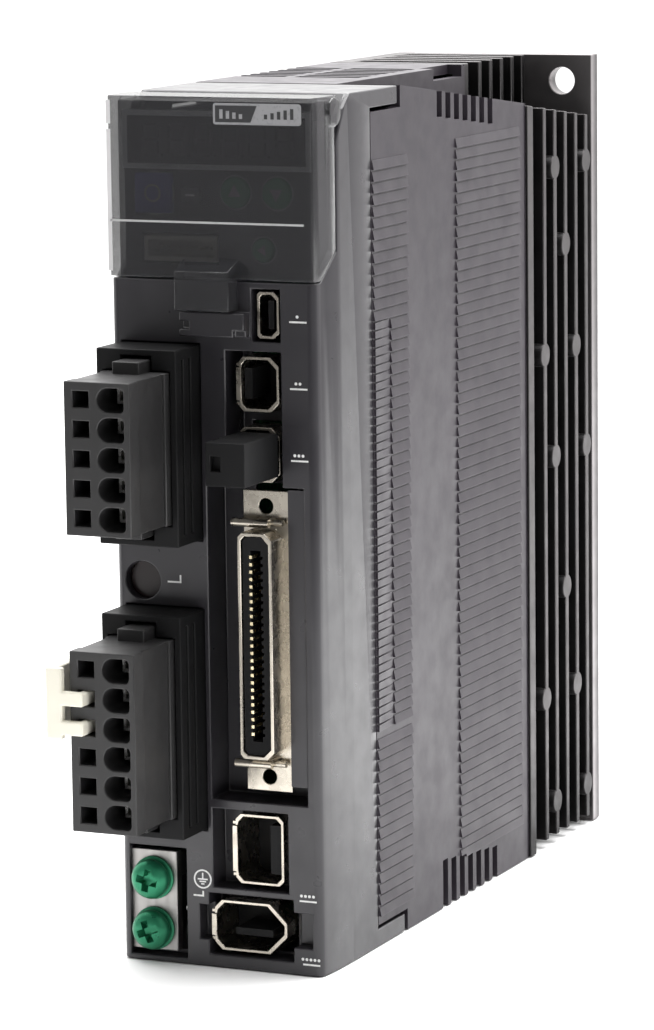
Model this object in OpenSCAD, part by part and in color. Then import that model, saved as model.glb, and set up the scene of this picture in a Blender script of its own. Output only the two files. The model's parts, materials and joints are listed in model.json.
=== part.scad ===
// Slim servo drive that bolts upright to a cabinet wall, in millimetres.
// X runs to the right seen from the front, Y runs back into the wall and Z runs up.
// The origin is the middle of the rear mounting face at its lower edge.

/* [Housing] */
// Width over the louvres of both side walls
case_w = 40; // [38:0.5:44]
// Height of the case and of the mounting plate
case_h = 150; // [150:0.5:156]
// Depth from the mounting face to the front panel
case_d = 132; // [130:0.5:140]
// Thickness of the moulded walls
wall = 1.8; // [1.4:0.1:2.2]
// Thickness of the front panel
panel_t = 2; // [1.6:0.1:2.4]
// Fall of the screwdriver channels, as height over depth
channel_slope = 0.12; // [0.08:0.01:0.14]
// Width of each screwdriver channel
channel_w = 12.5; // [11:0.5:13]
// How far the louvres stand out of the side walls
louvre_h = 0.45; // [0.3:0.05:0.5]

/* [Heat sink] */
// Thickness of the mounting plate
plate_t = 3.5; // [3:0.1:4]
// Radius of the mounting hole and of the open slot
mount_r = 2.6; // [2.2:0.1:3]
// Distance of both from the plate's side edge
mount_inset_x = 6; // [5:0.5:8]
// Distance of both from the plate's end edge
mount_inset_z = 5; // [4.5:0.5:7]
// Number of cooling fins
fin_count = 5; // [3:1:5]
// Distance between fin centres
fin_pitch = 5.48; // [5:0.02:5.5]
// Thickness of a fin
fin_t = 1.5; // [1.2:0.1:2]

/* [Power plugs] */
// Distance between the wire entries
plug_pitch = 5; // [5:0.1:5.2]
// Ways of the supply plug
supply_ways = 5; // [3:1:5]
// Ways of the motor plug
motor_ways = 6; // [3:1:6]
// Width of a plug
plug_w = 12.1; // [11.5:0.1:12.3]
// How far the plugs stand out of the front panel
plug_reach = 24; // [20:0.5:28]

/* [Control connector] */
// Distance between the contacts
io_pitch = 1.27; // [1.2:0.01:1.3]
// Contacts in one row
io_ways = 25; // [10:1:25]
// Distance between the two screw holes
io_screw_span = 46.8; // [46:0.1:48]
// Radius of the screw holes
io_screw_r = 1.3; // [1.1:0.05:1.5]

/* [Cover] */
// Height of the flip-up cover
cover_h = 30.7; // [28:0.1:31]
// Thickness of the cover's front
cover_t = 1.4; // [1.2:0.1:1.5]
// Radius of the cover's hinge pins
hinge_pin_r = 0.9; // [0.7:0.05:1]

/* [Hidden] */

$fn = 48;
half_w = case_w / 2;
side_x = half_w - louvre_h;
front_y = -case_d;
// Running clearance round a pin, and the gap between parts that only sit together
pin_play = 0.07;
gap = 0.2;
eps = 0.01;

// Depths of the joints between heat sink, rear case and front case
web_rear_y = -34;
web_front_y = -36.9;
seam_y = -109;
tab_end_y = -97.3;
tab_groove_y = -96;
channel_start_y = -96;
tab_h = 3.1;
tab_groove = 0.7;
rear_groove = 0.4;

// Cooling fins, counted from the front
first_fin_y = -28.1;
fin_pads = [[29, 95], [8, 75, 130], [49, 115], [29, 95], [8, 75, 130]];
pad_r = 2.25;

// Vent slots
vent_count = 7;
vent_pitch = 4;
vent_w = 2.4;
vent_start_y = -79.5;
vent_drop = 4.8;

// Louvres: two bands of slats, the front one with finer slats halfway up
slat_pitch = 2;
fine_slat_pitch = 1.5;
slat_gap = 0.3;
front_band_y = [-108.8, -93.5];
front_band_z = [5, 139];
fine_z = [38, 110];
fine_end_y = -101.8;
rear_band_y = [-71.2, -40.5];
rear_band_z = [7, 139];

// Cover, its hinge and the operation panel behind it
cover_base_z = case_h - cover_h;
cover_half_w = half_w - 0.5;
flange_t = 1.4;
flange_in = cover_half_w - flange_t;
cover_top_t = 0.9;
hinge_y = front_y + 7.7;
hinge_z = case_h - 2.7;
boss_r = 2.7;
ear_r = 1.7;
ear_out = flange_in - 0.4;
ear_t = 1.8;
desk_y = front_y + 2.8;
desk_t = 1;
desk_half_w = 17.4;
button_travel = 0.3;
button_face_y = desk_y - 0.7;
switch_face_y = desk_y + 2.2;
display_board_y = front_y + 8.5;
display_board_t = 1.5;
window_z = [138.3, 146.6];
window_half_w = 16.7;

// Middle of each key as [x, z]
mode_at = [-11.8, 133.4];
set_at = [-4.8, 133.2];
shift_at = [8.6, 124.2];
up_at = [3.5, 133.8];
down_at = [11.2, 133.8];
mode_size = 6.8;
set_size = [3.4, 2.4];
arrow_r = 2.6;
shift_r = 2;
stem_r = 1;

// Circuit boards stand on edge along Y
board_t = 1.6;
control_board_x = 12.2;
power_board_x = -2.4;
board_rear_y = -44;
control_board_y = -119;
power_board_y = -112;
spacer_at = [[-104, 12], [-104, 130], [-52, 20], [-52, 130]];
spacer_r = 2.5;
module_x = -10;
module_screw_z = [49, 113];
screw_r = 1.45;

// Control side sockets stop just behind the front panel's face
socket_y = front_y + 1;
socket_rear_y = front_y + 19;
sheet_t = 0.5;
cavity_y = socket_y + 8.5;
usb_box = [[7.9, 109.4], [12, 117.4]];
expansion_box = [[4.4, 96.9], [11.8, 106.3]];
safety_box = [[4.4, 84.9], [11.8, 94.3]];
scale_box = [[2.4, 14.9], [11.5, 27.2]];
encoder_box = [[-1.8, 2.8], [11.9, 11.7]];

// Pockets of the front panel as [x, z] low corner, [x, z] high corner, depth
pockets = [[[7.3, 108.9], [12.6, 117.9], 7], [[2.3, 84.3], [12.6, 107.3], 7],
    [[-1.5, 29.6], [16.5, 84.3], 7], [[-1.5, 14.1], [12.8, 28], 5],
    [[-2.4, 2.1], [13.6, 13], 5], [[-4.2, 4.7], [17.2, 10.8], 3]];

// Control connector
io_x = 9.05;
io_z = 57.5;
io_flange_box = [[4.8, 31.6], [13.3, 83.6]];
io_shell_w = 6.3;
io_shell_h = io_pitch * (io_ways - 1) + 8.5;
io_front_y = socket_y - 5;
io_slot_w = 1.9;

// Power headers and plugs
plug_x = -10.05;
header_box_x = [-17.5, -2.6];
header_y = front_y - 9;
header_rear_y = front_y + 18;
plug_y = front_y - plug_reach;
plug_rear_y = front_y + 4;
supply_z = 91.35;
motor_z = 43.35;
header_end = 3.8;
plug_end = 2.95;
lip_d = 3.5;
slot_x = -13;
slot_size = [3, 2.8];
wire_x = -7.5;
wire_r = 2.05;
wire_w = 4.9;
entry_depth = 13;
latch_w = 5;
pin_side = 1;

// Ground terminal
ground_box = [[-17.6, 1.7], [-8.9, 19.5]];
ground_y = front_y + 1;
ground_t = 2;
ground_x = -13.25;
ground_z = [5.6, 14.6];
ground_head_r = 3.5;
ground_head_h = 2.4;
ground_shank_r = 1.93;

// Charge lamp
charge_at = [-13.9, 67];
charge_r = 3.2;

// Box from its low corner to its high corner
module block(lo, hi) {
    translate(lo) cube(hi - lo);
}

// Box from a pair of [x, z] corners and a pair of depths
module slab(corners, y0, y1) {
    block([corners[0][0], y0, corners[0][1]], [corners[1][0], y1, corners[1][1]]);
}

// Outline in Y and Z, drawn out along X
module along_x(x0, x1) {
    translate([x0, 0, 0]) rotate([90, 0, 90]) linear_extrude(x1 - x0) children();
}

// Outline in X and Z, drawn out along Y
module along_y(y0, y1) {
    translate([0, y1, 0]) rotate([90, 0, 0]) linear_extrude(y1 - y0) children();
}

module rod_x(y, z, x0, x1, r) {
    translate([x0, y, z]) rotate([0, 90, 0]) cylinder(h = x1 - x0, r = r);
}

module rod_y(x, z, y0, y1, r) {
    translate([x, y1, z]) rotate([90, 0, 0]) cylinder(h = y1 - y0, r = r);
}

// The case looks the same after half a turn about its depth axis
module half_turned() {
    translate([0, 0, case_h]) rotate([0, 180, 0]) children();
}

module both_ends() {
    children();
    half_turned() children();
}

module both_sides() {
    children();
    mirror([1, 0, 0]) children();
}

// Height of the screwdriver channel's floor at a depth
function channel_floor(y) = case_h - channel_slope * max(0, y - channel_start_y);

// Space taken out over the channel's floor, grown by a skin on its low sides
module channel(skin, y_end) {
    along_x(half_w - channel_w - skin, half_w + 1)
        polygon([
            [channel_start_y, case_h - skin],
            [y_end, channel_floor(y_end) - skin],
            [y_end, case_h + 1],
            [channel_start_y, case_h + 1]
        ]);
}

// Corners of a box outline whose left and right corners are cut at 45 degrees
function cut_box(lo, hi, left, right) = [
    [lo[0] + left, lo[1]], [hi[0] - right, lo[1]], [hi[0], lo[1] + right], [hi[0], hi[1] - right],
    [hi[0] - right, hi[1]], [lo[0] + left, hi[1]], [lo[0], hi[1] - left], [lo[0], lo[1] + left]];

// Points of an arc
function arc(centre, r, a0, a1, steps) =
    [for (i = [0 : steps]) centre + r * [cos(a0 + (a1 - a0) * i / steps), sin(a0 + (a1 - a0) * i / steps)]];

// ---- Heat sink ----

module fin(i) {
    y = first_fin_y + i * fin_pitch;
    block([-half_w + 1, y - fin_t / 2, 1.5], [half_w, y + fin_t / 2, case_h]);
    for (z = fin_pads[i]) rod_x(y, z, half_w - 3, half_w, pad_r);
}

module heat_sink() color("silver") {
    difference() {
        union() {
            block([-half_w, web_front_y, 0], [half_w, web_rear_y, case_h]);
            block([-half_w, web_rear_y - eps, 0], [-half_w + 3.5, -plate_t + eps, case_h]);
            for (i = [0 : fin_count - 1]) fin(i);
        }
        both_ends() channel(0.4, -plate_t);
        both_ends() block([half_w - channel_w, web_front_y - 1, channel_floor(web_front_y) - 0.4],
            [half_w + 1, web_rear_y + 1, case_h + 1]);
        for (z = module_screw_z) rod_y(module_x, z, web_front_y - 1, web_rear_y - 0.3, screw_r + 0.05);
    }
    difference() {
        block([-half_w, -plate_t, 0], [half_w, 0, case_h]);
        rod_y(half_w - mount_inset_x, case_h - mount_inset_z, -plate_t - 1, 1, mount_r);
        rod_y(-half_w + mount_inset_x, mount_inset_z, -plate_t - 1, 1, mount_r);
        block([-half_w + mount_inset_x - mount_r, -plate_t - 1, -1],
            [-half_w + mount_inset_x + mount_r, 1, mount_inset_z]);
    }
}

// ---- Rear case ----

// Slats on the right-hand wall, each thickest at its lower edge
module slats(ys, zs, pitch) {
    for (k = [0 : floor((zs[1] - zs[0]) / pitch) - 1]) {
        z = zs[0] + pitch * k;
        along_y(ys[0], ys[1])
            polygon([
                [side_x - eps, z + slat_gap],
                [half_w, z + slat_gap],
                [side_x + 0.12, z + pitch - 0.1],
                [side_x - eps, z + pitch - 0.1]
            ]);
    }
}

// Finer slats, each thickest at its front end
module fine_slats() {
    for (k = [0 : floor((fine_z[1] - fine_z[0]) / fine_slat_pitch) - 1])
        translate([0, 0, fine_z[0] + fine_slat_pitch * k + slat_gap])
            linear_extrude(fine_slat_pitch - slat_gap)
                polygon([
                    [side_x - eps, front_band_y[0]],
                    [half_w, front_band_y[0]],
                    [side_x + 0.05, fine_end_y],
                    [side_x - eps, fine_end_y]
                ]);
}

module louvres() {
    slats(front_band_y, [front_band_z[0], fine_z[0]], slat_pitch);
    slats([fine_end_y + 0.3, front_band_y[1]], fine_z, slat_pitch);
    slats(front_band_y, [fine_z[1], front_band_z[1]], slat_pitch);
    slats(rear_band_y, rear_band_z, slat_pitch);
    fine_slats();
}

// One row of vents through the roof and down the wall, on each side of the roof's step
module vents() {
    for (i = [0 : vent_count - 1]) {
        y = vent_start_y + vent_pitch * i;
        fall = channel_slope * vent_pitch * i;
        block([half_w - channel_w + 3, y, channel_floor(y) - vent_drop],
            [half_w + 1, y + vent_w, case_h + 1]);
        block([-half_w - 1, y, case_h - 8.8 + fall], [-half_w + 10, y + vent_w, case_h + 1]);
        block([-half_w + 12, y, case_h - 8.8 + fall], [half_w - channel_w - 3, y + vent_w, case_h + 1]);
    }
}

// Shadow groove round the case just in front of the heat sink
module rear_groove_ring() {
    difference() {
        block([-half_w - 1, web_front_y - 0.2 - rear_groove, -1],
            [half_w + 1, web_front_y - 0.2, case_h + 1]);
        block([-side_x + 0.3, web_front_y - 2, 0.3], [side_x - 0.3, web_front_y, case_h - 0.3]);
    }
}

module rear_case() color("dimgray") {
    difference() {
        union() {
            block([-side_x, seam_y, 0], [side_x, web_front_y, case_h]);
            both_ends() louvres();
        }
        both_ends() channel(0, web_front_y + 1);
        difference() {
            block([-side_x + wall, seam_y - 1, wall], [side_x - wall, web_front_y + 1, case_h - wall]);
            both_ends() channel(wall, web_front_y + 2);
        }
        both_ends() vents();
        both_ends() block([-half_w - 1, seam_y - 1, case_h - tab_h - tab_groove],
            [half_w + 1, tab_groove_y, case_h + 1]);
        rear_groove_ring();
        both_ends() block([half_w - channel_w - wall - 1, -52, case_h - 2.2],
            [half_w - channel_w + 1, -38.4, case_h + 1]);
    }
}

// ---- Front case ----

// Plan of the front case: straight at the back, drawn in slightly towards a rounded front edge
module front_plan(inset) {
    r = 1.2;
    nose = half_w - 0.6 - inset;
    right = concat(
        [[side_x - inset, seam_y + 1], [side_x - inset, seam_y - 10]],
        arc([nose - r, front_y + r + inset], r, 0, -90, 6)
    );
    polygon(concat(right, [for (i = [len(right) - 1 : -1 : 0]) [-right[i][0], right[i][1]]]));
}

// Side view of the space that the cover and its hinge sweep
module cover_space() {
    polygon([
        [front_y - 1, cover_base_z - 0.3],
        [front_y + 2.4, cover_base_z - 0.3],
        [hinge_y + 0.7, cover_base_z + 4.5],
        [hinge_y + 0.7, hinge_z - 5.3],
        [hinge_y + 3.8, hinge_z + 0.2],
        [hinge_y + 6.6, case_h],
        [hinge_y + 6.6, case_h + 1],
        [front_y - 1, case_h + 1]
    ]);
}

// Side view of a hinge ear
module ear_outline() {
    polygon([
        [desk_y + desk_t, cover_base_z - 0.3],
        [hinge_y + 6, cover_base_z - 0.3],
        [hinge_y + 6, hinge_z - 7],
        [hinge_y + 1, hinge_z - 1.4],
        [desk_y + desk_t, hinge_z - 1.4]
    ]);
    translate([hinge_y, hinge_z]) circle(r = ear_r);
    translate([hinge_y - 1, hinge_z - 2.5]) square([2, 2]);
}

module pocket_walls(p) {
    slab([p[0] - [0.8, 0.8], p[1] + [0.8, 0.8]], front_y + panel_t - eps, front_y + p[2] + 1);
}

module socket_hole(corners, margin) {
    slab([corners[0] - [margin, margin], corners[1] + [margin, margin]], front_y - 1, socket_rear_y);
}

module header_hole(ways, z) {
    h = plug_h(ways) + 2 * (header_end + gap);
    block([header_box_x[0] - gap, front_y - 1, z - h / 2],
        [header_box_x[1] + gap, front_y + panel_t + 1, z + h / 2]);
}

module catch_lip() {
    difference() {
        block([-5, front_y - 2.5, 109.8], [7, front_y + eps, 113.9]);
        block([-6, front_y - 3, 111], [-3.2, front_y - 1, 112.4]);
        block([5, front_y - 3, 109], [8, front_y - 1.6, 111]);
    }
}

module front_case() color("#3c3c40") {
    difference() {
        union() {
            difference() {
                linear_extrude(case_h) front_plan(0);
                translate([0, 0, wall]) linear_extrude(case_h - 2 * wall) intersection() {
                    front_plan(wall);
                    translate([-half_w, front_y + panel_t]) square([case_w, case_d]);
                }
                block([-half_w - 1, seam_y - 0.15, -1], [half_w + 1, 0, case_h + 1]);
            }
            both_ends() difference() {
                block([-side_x, seam_y - 1, case_h - tab_h], [side_x, tab_end_y, case_h]);
                block([-side_x + wall, seam_y - 2, case_h - tab_h - 1], [side_x - wall, 0, case_h - wall]);
            }
            block([-half_w + 0.7, front_y + panel_t - eps, cover_base_z - 2.3],
                [half_w - 0.7, hinge_y, cover_base_z - 0.3]);
            both_sides() block([ear_out - ear_t, hinge_y + 0.9, cover_base_z - 0.3],
                [side_x - 0.2, hinge_y + 6, hinge_z - 7]);
            for (p = pockets) pocket_walls(p);
            catch_lip();
        }
        both_sides() along_x(ear_out, half_w + 1) cover_space();
        block([-ear_out - 1, front_y - 1, cover_base_z - 0.3], [ear_out + 1, desk_y + desk_t, case_h + 1]);
        along_x(-ear_out - 1, ear_out + 1)
            polygon([[desk_y, hinge_z - 3], [hinge_y + 3, hinge_z - 0.9], [hinge_y + 6.6, case_h],
                [hinge_y + 6.6, case_h + 1], [desk_y, case_h + 1]]);
        for (p = pockets) slab([p[0], p[1]], front_y - 1, front_y + p[2]);
        socket_hole(usb_box, 0.3);
        socket_hole(expansion_box, 0.3);
        socket_hole(safety_box, 0.3);
        socket_hole(scale_box, 0.3);
        socket_hole(encoder_box, 0.3);
        socket_hole(io_flange_box, 0.3);
        header_hole(supply_ways, supply_z);
        header_hole(motor_ways, motor_z);
        slab([[-18, 0.9], [-6.6, 20.4]], front_y - 1, front_y + panel_t + 1);
        rod_y(charge_at[0], charge_at[1], front_y - 1, front_y + panel_t + 1, charge_r + 0.1);
    }
    both_sides() difference() {
        along_x(ear_out - ear_t, ear_out) ear_outline();
        rod_x(hinge_y, hinge_z, 0, half_w, hinge_pin_r + pin_play);
    }
}

// ---- Cover, operation panel and keys ----

module cover_flange() {
    polygon([
        [front_y, cover_base_z],
        [front_y + 2.2, cover_base_z],
        [hinge_y + 0.3, cover_base_z + 4.7],
        [hinge_y + 0.3, hinge_z],
        [hinge_y + 1, case_h],
        [front_y, case_h]
    ]);
    translate([hinge_y, hinge_z]) circle(r = boss_r);
}

module finger_tab() {
    along_x(-5, 5) polygon([
        [front_y + eps, cover_base_z + 3.6],
        [front_y - 4.2, cover_base_z + 1.6],
        [front_y - 4.2, cover_base_z - 5],
        [front_y - 0.25, cover_base_z - 5],
        [front_y - 0.25, cover_base_z],
        [front_y + eps, cover_base_z]
    ]);
}

module display_cover() color([0.25, 0.25, 0.27, 0.7]) {
    block([-cover_half_w, front_y, cover_base_z], [cover_half_w, front_y + cover_t, case_h]);
    block([-cover_half_w, front_y, case_h - cover_top_t], [cover_half_w, hinge_y + 1, case_h]);
    both_sides() along_x(flange_in, cover_half_w) cover_flange();
    both_sides() rod_x(hinge_y, hinge_z, ear_out - ear_t + 0.2, flange_in + eps, hinge_pin_r);
    both_sides() rod_x(hinge_y, hinge_z, cover_half_w - eps, cover_half_w + 0.3, boss_r - 0.3);
    finger_tab();
}

module operation_panel() color("#4a4a4e") {
    difference() {
        block([-desk_half_w, desk_y, cover_base_z], [desk_half_w, desk_y + desk_t, hinge_z + 0.2]);
        slab([[-window_half_w, window_z[0]], [window_half_w, window_z[1]]], desk_y - 1, desk_y + desk_t + 1);
        slab([mode_at - [3.6, 3.6], mode_at + [3.6, 3.6]], desk_y - 1, desk_y + desk_t + 1);
        slab([set_at - [1.9, 1.4], set_at + [1.9, 1.4]], desk_y - 1, desk_y + desk_t + 1);
        for (at = [up_at, down_at]) rod_y(at[0], at[1], desk_y - 1, desk_y + desk_t + 1, arrow_r + gap);
        rod_y(shift_at[0], shift_at[1], desk_y - 1, desk_y + desk_t + 1, shift_r + gap);
        slab([[-14.4, 121.4], [0.1, 126.6]], desk_y - 1, desk_y + desk_t + 1);
    }
}

module display_window() color([0.15, 0.1, 0.1, 0.8]) {
    difference() {
        slab([[-window_half_w + 0.1, window_z[0] + 0.1], [window_half_w - 0.1, window_z[1] - 0.1]],
            desk_y - 0.3, desk_y + desk_t);
        slab([[-15.2, window_z[0] + 0.9], [15.2, window_z[1] - 0.9]], desk_y - 1, desk_y + 0.2);
    }
}

module display_module() color("#202020") {
    slab([[-15.5, window_z[0] + 0.3], [15.5, window_z[1] - 0.5]], desk_y + desk_t, display_board_y);
}

module display_board() color("darkgreen") {
    difference() {
        slab([[-15.6, 121], [15.6, hinge_z - 1.9]], display_board_y, display_board_y + display_board_t);
        for (x = [-13.5, 13.5]) rod_y(x, 129, display_board_y - 1, -100, 1.2);
    }
}

// A key: cap through the panel and stem down to its switch
module key_stem(at) {
    rod_y(at[0], at[1], desk_y + desk_t - eps, switch_face_y - button_travel - 0.05, stem_r);
}

module mode_button() color("slateblue") {
    half = [mode_size, mode_size] / 2;
    slab([mode_at - half, mode_at + half], button_face_y, desk_y + desk_t);
    key_stem(mode_at);
}

module set_button() color("gray") {
    slab([set_at - set_size / 2, set_at + set_size / 2], button_face_y, desk_y + desk_t);
    key_stem(set_at);
}

module round_button(at, r) {
    rod_y(at[0], at[1], button_face_y, desk_y + desk_t, r);
    key_stem(at);
}

module shift_button() color("seagreen") round_button(shift_at, shift_r);
module up_button() color("seagreen") round_button(up_at, arrow_r);
module down_button() color("seagreen") round_button(down_at, arrow_r);

module key_switches() color("#303030") {
    for (at = [mode_at, set_at, shift_at, up_at, down_at])
        slab([at - [1.7, 1.7], at + [1.7, 1.7]], switch_face_y, display_board_y);
}

module monitor_socket() color("#e8e4d8") {
    difference() {
        slab([[-14, 121.8], [-0.3, 126.2]], desk_y + 0.2, display_board_y);
        slab([[-13.2, 122.6], [-1.1, 125.4]], desk_y - 1, display_board_y - 1.2);
    }
    for (i = [0 : 5])
        slab([[-12.4 + 2 * i, 123.7], [-11.9 + 2 * i, 124.2]], desk_y + 1.2, display_board_y - 1);
}

module charge_lens() color([0.5, 0.1, 0.1, 0.8]) {
    rod_y(charge_at[0], charge_at[1], front_y + 1.8, front_y + 9, charge_r - 0.1);
    slab([charge_at - [charge_r - 0.1, charge_r + 1], charge_at + [charge_r + 1, charge_r + 1]],
        front_y + panel_t + 0.05, front_y + panel_t + 1.5);
}

// ---- Signal sockets ----

// Folded metal shell round a socket, open at the front
module metal_shell(corners, left, right) {
    along_y(socket_y, socket_rear_y) difference() {
        polygon(cut_box(corners[0], corners[1], left, right));
        polygon(cut_box(corners[0] + [sheet_t, sheet_t], corners[1] - [sheet_t, sheet_t], left, right));
    }
}

// Moulded block that fills the shell behind the cavity and carries a contact tongue
module socket_insert(corners, left, right, tongue) {
    in = sheet_t + 0.05;
    along_y(cavity_y, socket_rear_y)
        polygon(cut_box(corners[0] + [in, in], corners[1] - [in, in], left, right));
    slab(tongue, socket_y + 1, cavity_y + eps);
}

// The left side is folded over in front, and two clips are bent out of it
module shell_with_lip(corners, left, right) {
    metal_shell(corners, left, right);
    x = corners[0][0];
    z = [corners[0][1] + left + 1.1, corners[1][1] - left - 1.1];
    slab([[x - 0.45, z[0]], [x + sheet_t, z[1]]], socket_y - 0.3, socket_y + 0.5);
    for (at = [z[0] - 0.8, z[1] + 0.2])
        slab([[x - 0.5, at], [x + eps, at + 0.6]], socket_y, socket_y + 3);
}

module usb_shell() color("gainsboro") metal_shell(usb_box, 0.5, 1);
module usb_insert() color("#202020") socket_insert(usb_box, 0.5, 1, [[9.6, 111], [10.6, 115.8]]);

module expansion_shell() color("gainsboro") shell_with_lip(expansion_box, 0.8, 1.6);
module expansion_insert() color("#202020")
    socket_insert(expansion_box, 0.8, 1.6, [[5, 99], [6.4, 104.2]]);
module safety_shell() color("gainsboro") shell_with_lip(safety_box, 0.8, 1.6);
module safety_insert() color("#202020")
    socket_insert(safety_box, 0.8, 1.6, [[5, 87], [6.4, 92.2]]);

module safety_plug() color("#28282a") {
    difference() {
        union() {
            slab([[4.5, 86.1], [11.7, 93.5]], front_y - 13, socket_y - 0.4);
            along_y(socket_y - 0.4 - eps, socket_y + 6)
                polygon(cut_box([6.7, 85.9], [11.1, 93.3], 0.3, 1.7));
        }
        slab([[5.4, 88.6], [7.2, 91.2]], front_y - 14, front_y - 11.6);
        slab([[4.4, 86], [4.9, 93.6]], front_y - 10.6, front_y - 8);
    }
}

module scale_shell() color("gainsboro") shell_with_lip(scale_box, 1, 0.9);
module scale_insert() color("#202020")
    socket_insert(scale_box, 1, 0.9, [[8.6, 16.8], [10.6, 25.3]]);
module encoder_shell() color("gainsboro") shell_with_lip(encoder_box, 1.4, 3.2);
module encoder_insert() color("#202020")
    socket_insert(encoder_box, 1.4, 3.2, [[1.8, 5.6], [8.8, 6.8]]);

// ---- Control connector ----

function io_corners(grow) = [[io_x - io_shell_w / 2 - grow, io_z - io_shell_h / 2 - grow],
    [io_x + io_shell_w / 2 + grow, io_z + io_shell_h / 2 + grow]];

module io_flange() color("gainsboro") {
    outer = io_corners(0);
    inner = io_corners(-0.6);
    difference() {
        union() {
            slab(io_flange_box, socket_y, socket_y + 0.8);
            along_y(io_front_y, socket_y + eps) polygon(cut_box(outer[0], outer[1], 0.7, 1.3));
        }
        along_y(io_front_y - 1, socket_y + 1) polygon(cut_box(inner[0], inner[1], 0.7, 1.3));
        for (s = [-0.5, 0.5]) rod_y(io_x, io_z + s * io_screw_span, socket_y - 1, socket_y + 2, io_screw_r);
    }
}

// Moulded body with a long slot for the cable plug's blade
module io_insert() color("#262628") {
    inner = io_corners(-0.75);
    slot_half = [io_slot_w / 2, io_pitch * io_ways / 2 + 0.6];
    difference() {
        along_y(io_front_y + 0.5, socket_rear_y) polygon(cut_box(inner[0], inner[1], 0.7, 1.3));
        slab([[io_x, io_z] - slot_half, [io_x, io_z] + slot_half], io_front_y - 1, socket_y + 3);
        for (side = [-1, 1], i = [0 : io_ways - 1])
            slab(io_contact(side, i, 0), io_front_y - 1, socket_rear_y - 2);
    }
}

// Section of one contact, standing out of a groove in the slot's side
function io_contact(side, i, play) =
    let (x = io_x + side * (io_slot_w / 2 + 0.1), z = io_z + io_pitch * (i - (io_ways - 1) / 2))
    [[x - 0.3 + play, z - 0.3 + play], [x + 0.3 - play, z + 0.3 - play]];

module io_contacts() color("gold") {
    for (side = [-1, 1], i = [0 : io_ways - 1])
        slab(io_contact(side, i, 0.02), io_front_y + 0.7, socket_rear_y - 2);
}

// Two sprung wire bars that hold a cable plug, one above and one below the shell
module io_latch_bars() color("gainsboro") {
    for (s = [-1, 1]) {
        z = io_z + s * (io_shell_h / 2 + 1.3);
        rod_x(socket_y - 2.2, z, 3.8, 10.6, 0.75);
        for (x = [5.2, 10]) rod_y(x, z, socket_y - 2.2, socket_y, 0.6);
        rod_x(socket_y - 1, z, 10.4, 12.7, 0.6);
    }
}

// ---- Power headers and plugs ----

function plug_h(ways) = plug_pitch * (ways - 1) + 2 * plug_end;
function way_z(ways, z, i) = z + plug_pitch * ((ways - 1) / 2 - i);

// The upper and the lower end of a plug or header look the same
module plug_ends(z) {
    for (flip = [0, 1]) translate([plug_x, 0, z]) mirror([0, 0, flip]) children();
}

module header(ways, z) {
    half = plug_h(ways) / 2;
    difference() {
        block([header_box_x[0], header_y, z - half - header_end],
            [header_box_x[1], header_rear_y, z + half + header_end]);
        block([plug_x - plug_w / 2 - gap, header_y - 1, z - half - gap],
            [plug_x + plug_w / 2 + gap, plug_rear_y + gap, z + half + gap]);
        plug_ends(z)
            block([-latch_w / 2 - 0.3, header_y - 1, half - 0.3],
                [latch_w / 2 + 0.3, front_y + 1, half + 2.7]);
        for (i = [0 : ways - 1]) translate([plug_x, 0, way_z(ways, z, i)])
            block([-pin_side / 2, plug_rear_y - 1, -pin_side / 2],
                [pin_side / 2, header_rear_y + 1, pin_side / 2]);
        // Stiffening grooves down the outer side
        for (y = [header_y + 2.2, header_y + 5])
            block([header_box_x[1] - 0.5, y, z - half - 2], [header_box_x[1] + 1, y + 0.9, z + half + 2]);
    }
}

module header_pins(ways, z) {
    for (i = [0 : ways - 1]) translate([plug_x, 0, way_z(ways, z, i)])
        block([-pin_side / 2, front_y - 4, -pin_side / 2],
            [pin_side / 2, header_rear_y + 2.5, pin_side / 2]);
}

// Round towards the tool slot, squarer with rounded corners on the other side
module wire_entry() {
    left = wire_x - wire_w / 2 + wire_r;
    right = wire_x + wire_w / 2;
    corner_r = 0.8;
    along_y(plug_y - 1, plug_y + entry_depth) {
        translate([left, 0]) circle(r = wire_r);
        translate([left, -wire_r]) square([right - corner_r - left, 2 * wire_r]);
        translate([left, -wire_r + corner_r]) square([right - left, 2 * (wire_r - corner_r)]);
        for (s = [-1, 1]) translate([right - corner_r, s * (wire_r - corner_r)]) circle(r = corner_r);
    }
}

module plug(ways, z) {
    half = plug_h(ways) / 2;
    difference() {
        union() {
            block([plug_x - plug_w / 2, plug_y, z - half], [plug_x + plug_w / 2, plug_rear_y, z + half]);
            plug_ends(z) block([-latch_w / 2, header_y - 4, half - 0.2], [latch_w / 2, front_y, half + 2.1]);
        }
        // The sides step in behind the front lip
        side_steps(half, z);
        for (i = [0 : ways - 1]) translate([0, 0, way_z(ways, z, i)]) {
            wire_entry();
            block([slot_x - slot_size[0] / 2, plug_y - 1, -slot_size[1] / 2],
                [slot_x + slot_size[0] / 2, plug_y + entry_depth, slot_size[1] / 2]);
            block([plug_x - pin_side / 2 - 0.15, front_y - 5, -pin_side / 2 - 0.15],
                [plug_x + pin_side / 2 + 0.15, plug_rear_y + 1, pin_side / 2 + 0.15]);
        }
        // A gap under each latch arm lets it bend
        plug_ends(z)
            block([-latch_w / 2 - 1, header_y + 1, half - 0.4], [latch_w / 2 + 1, front_y + 1, half + 0.5]);
    }
}

module side_steps(half, z) {
    for (s = [-1, 1]) translate([plug_x + s * plug_w / 2, 0, 0])
        block([-0.5, plug_y + lip_d, z - half - 1], [0.5, header_y - 1.5, z + half + 1]);
}

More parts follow.
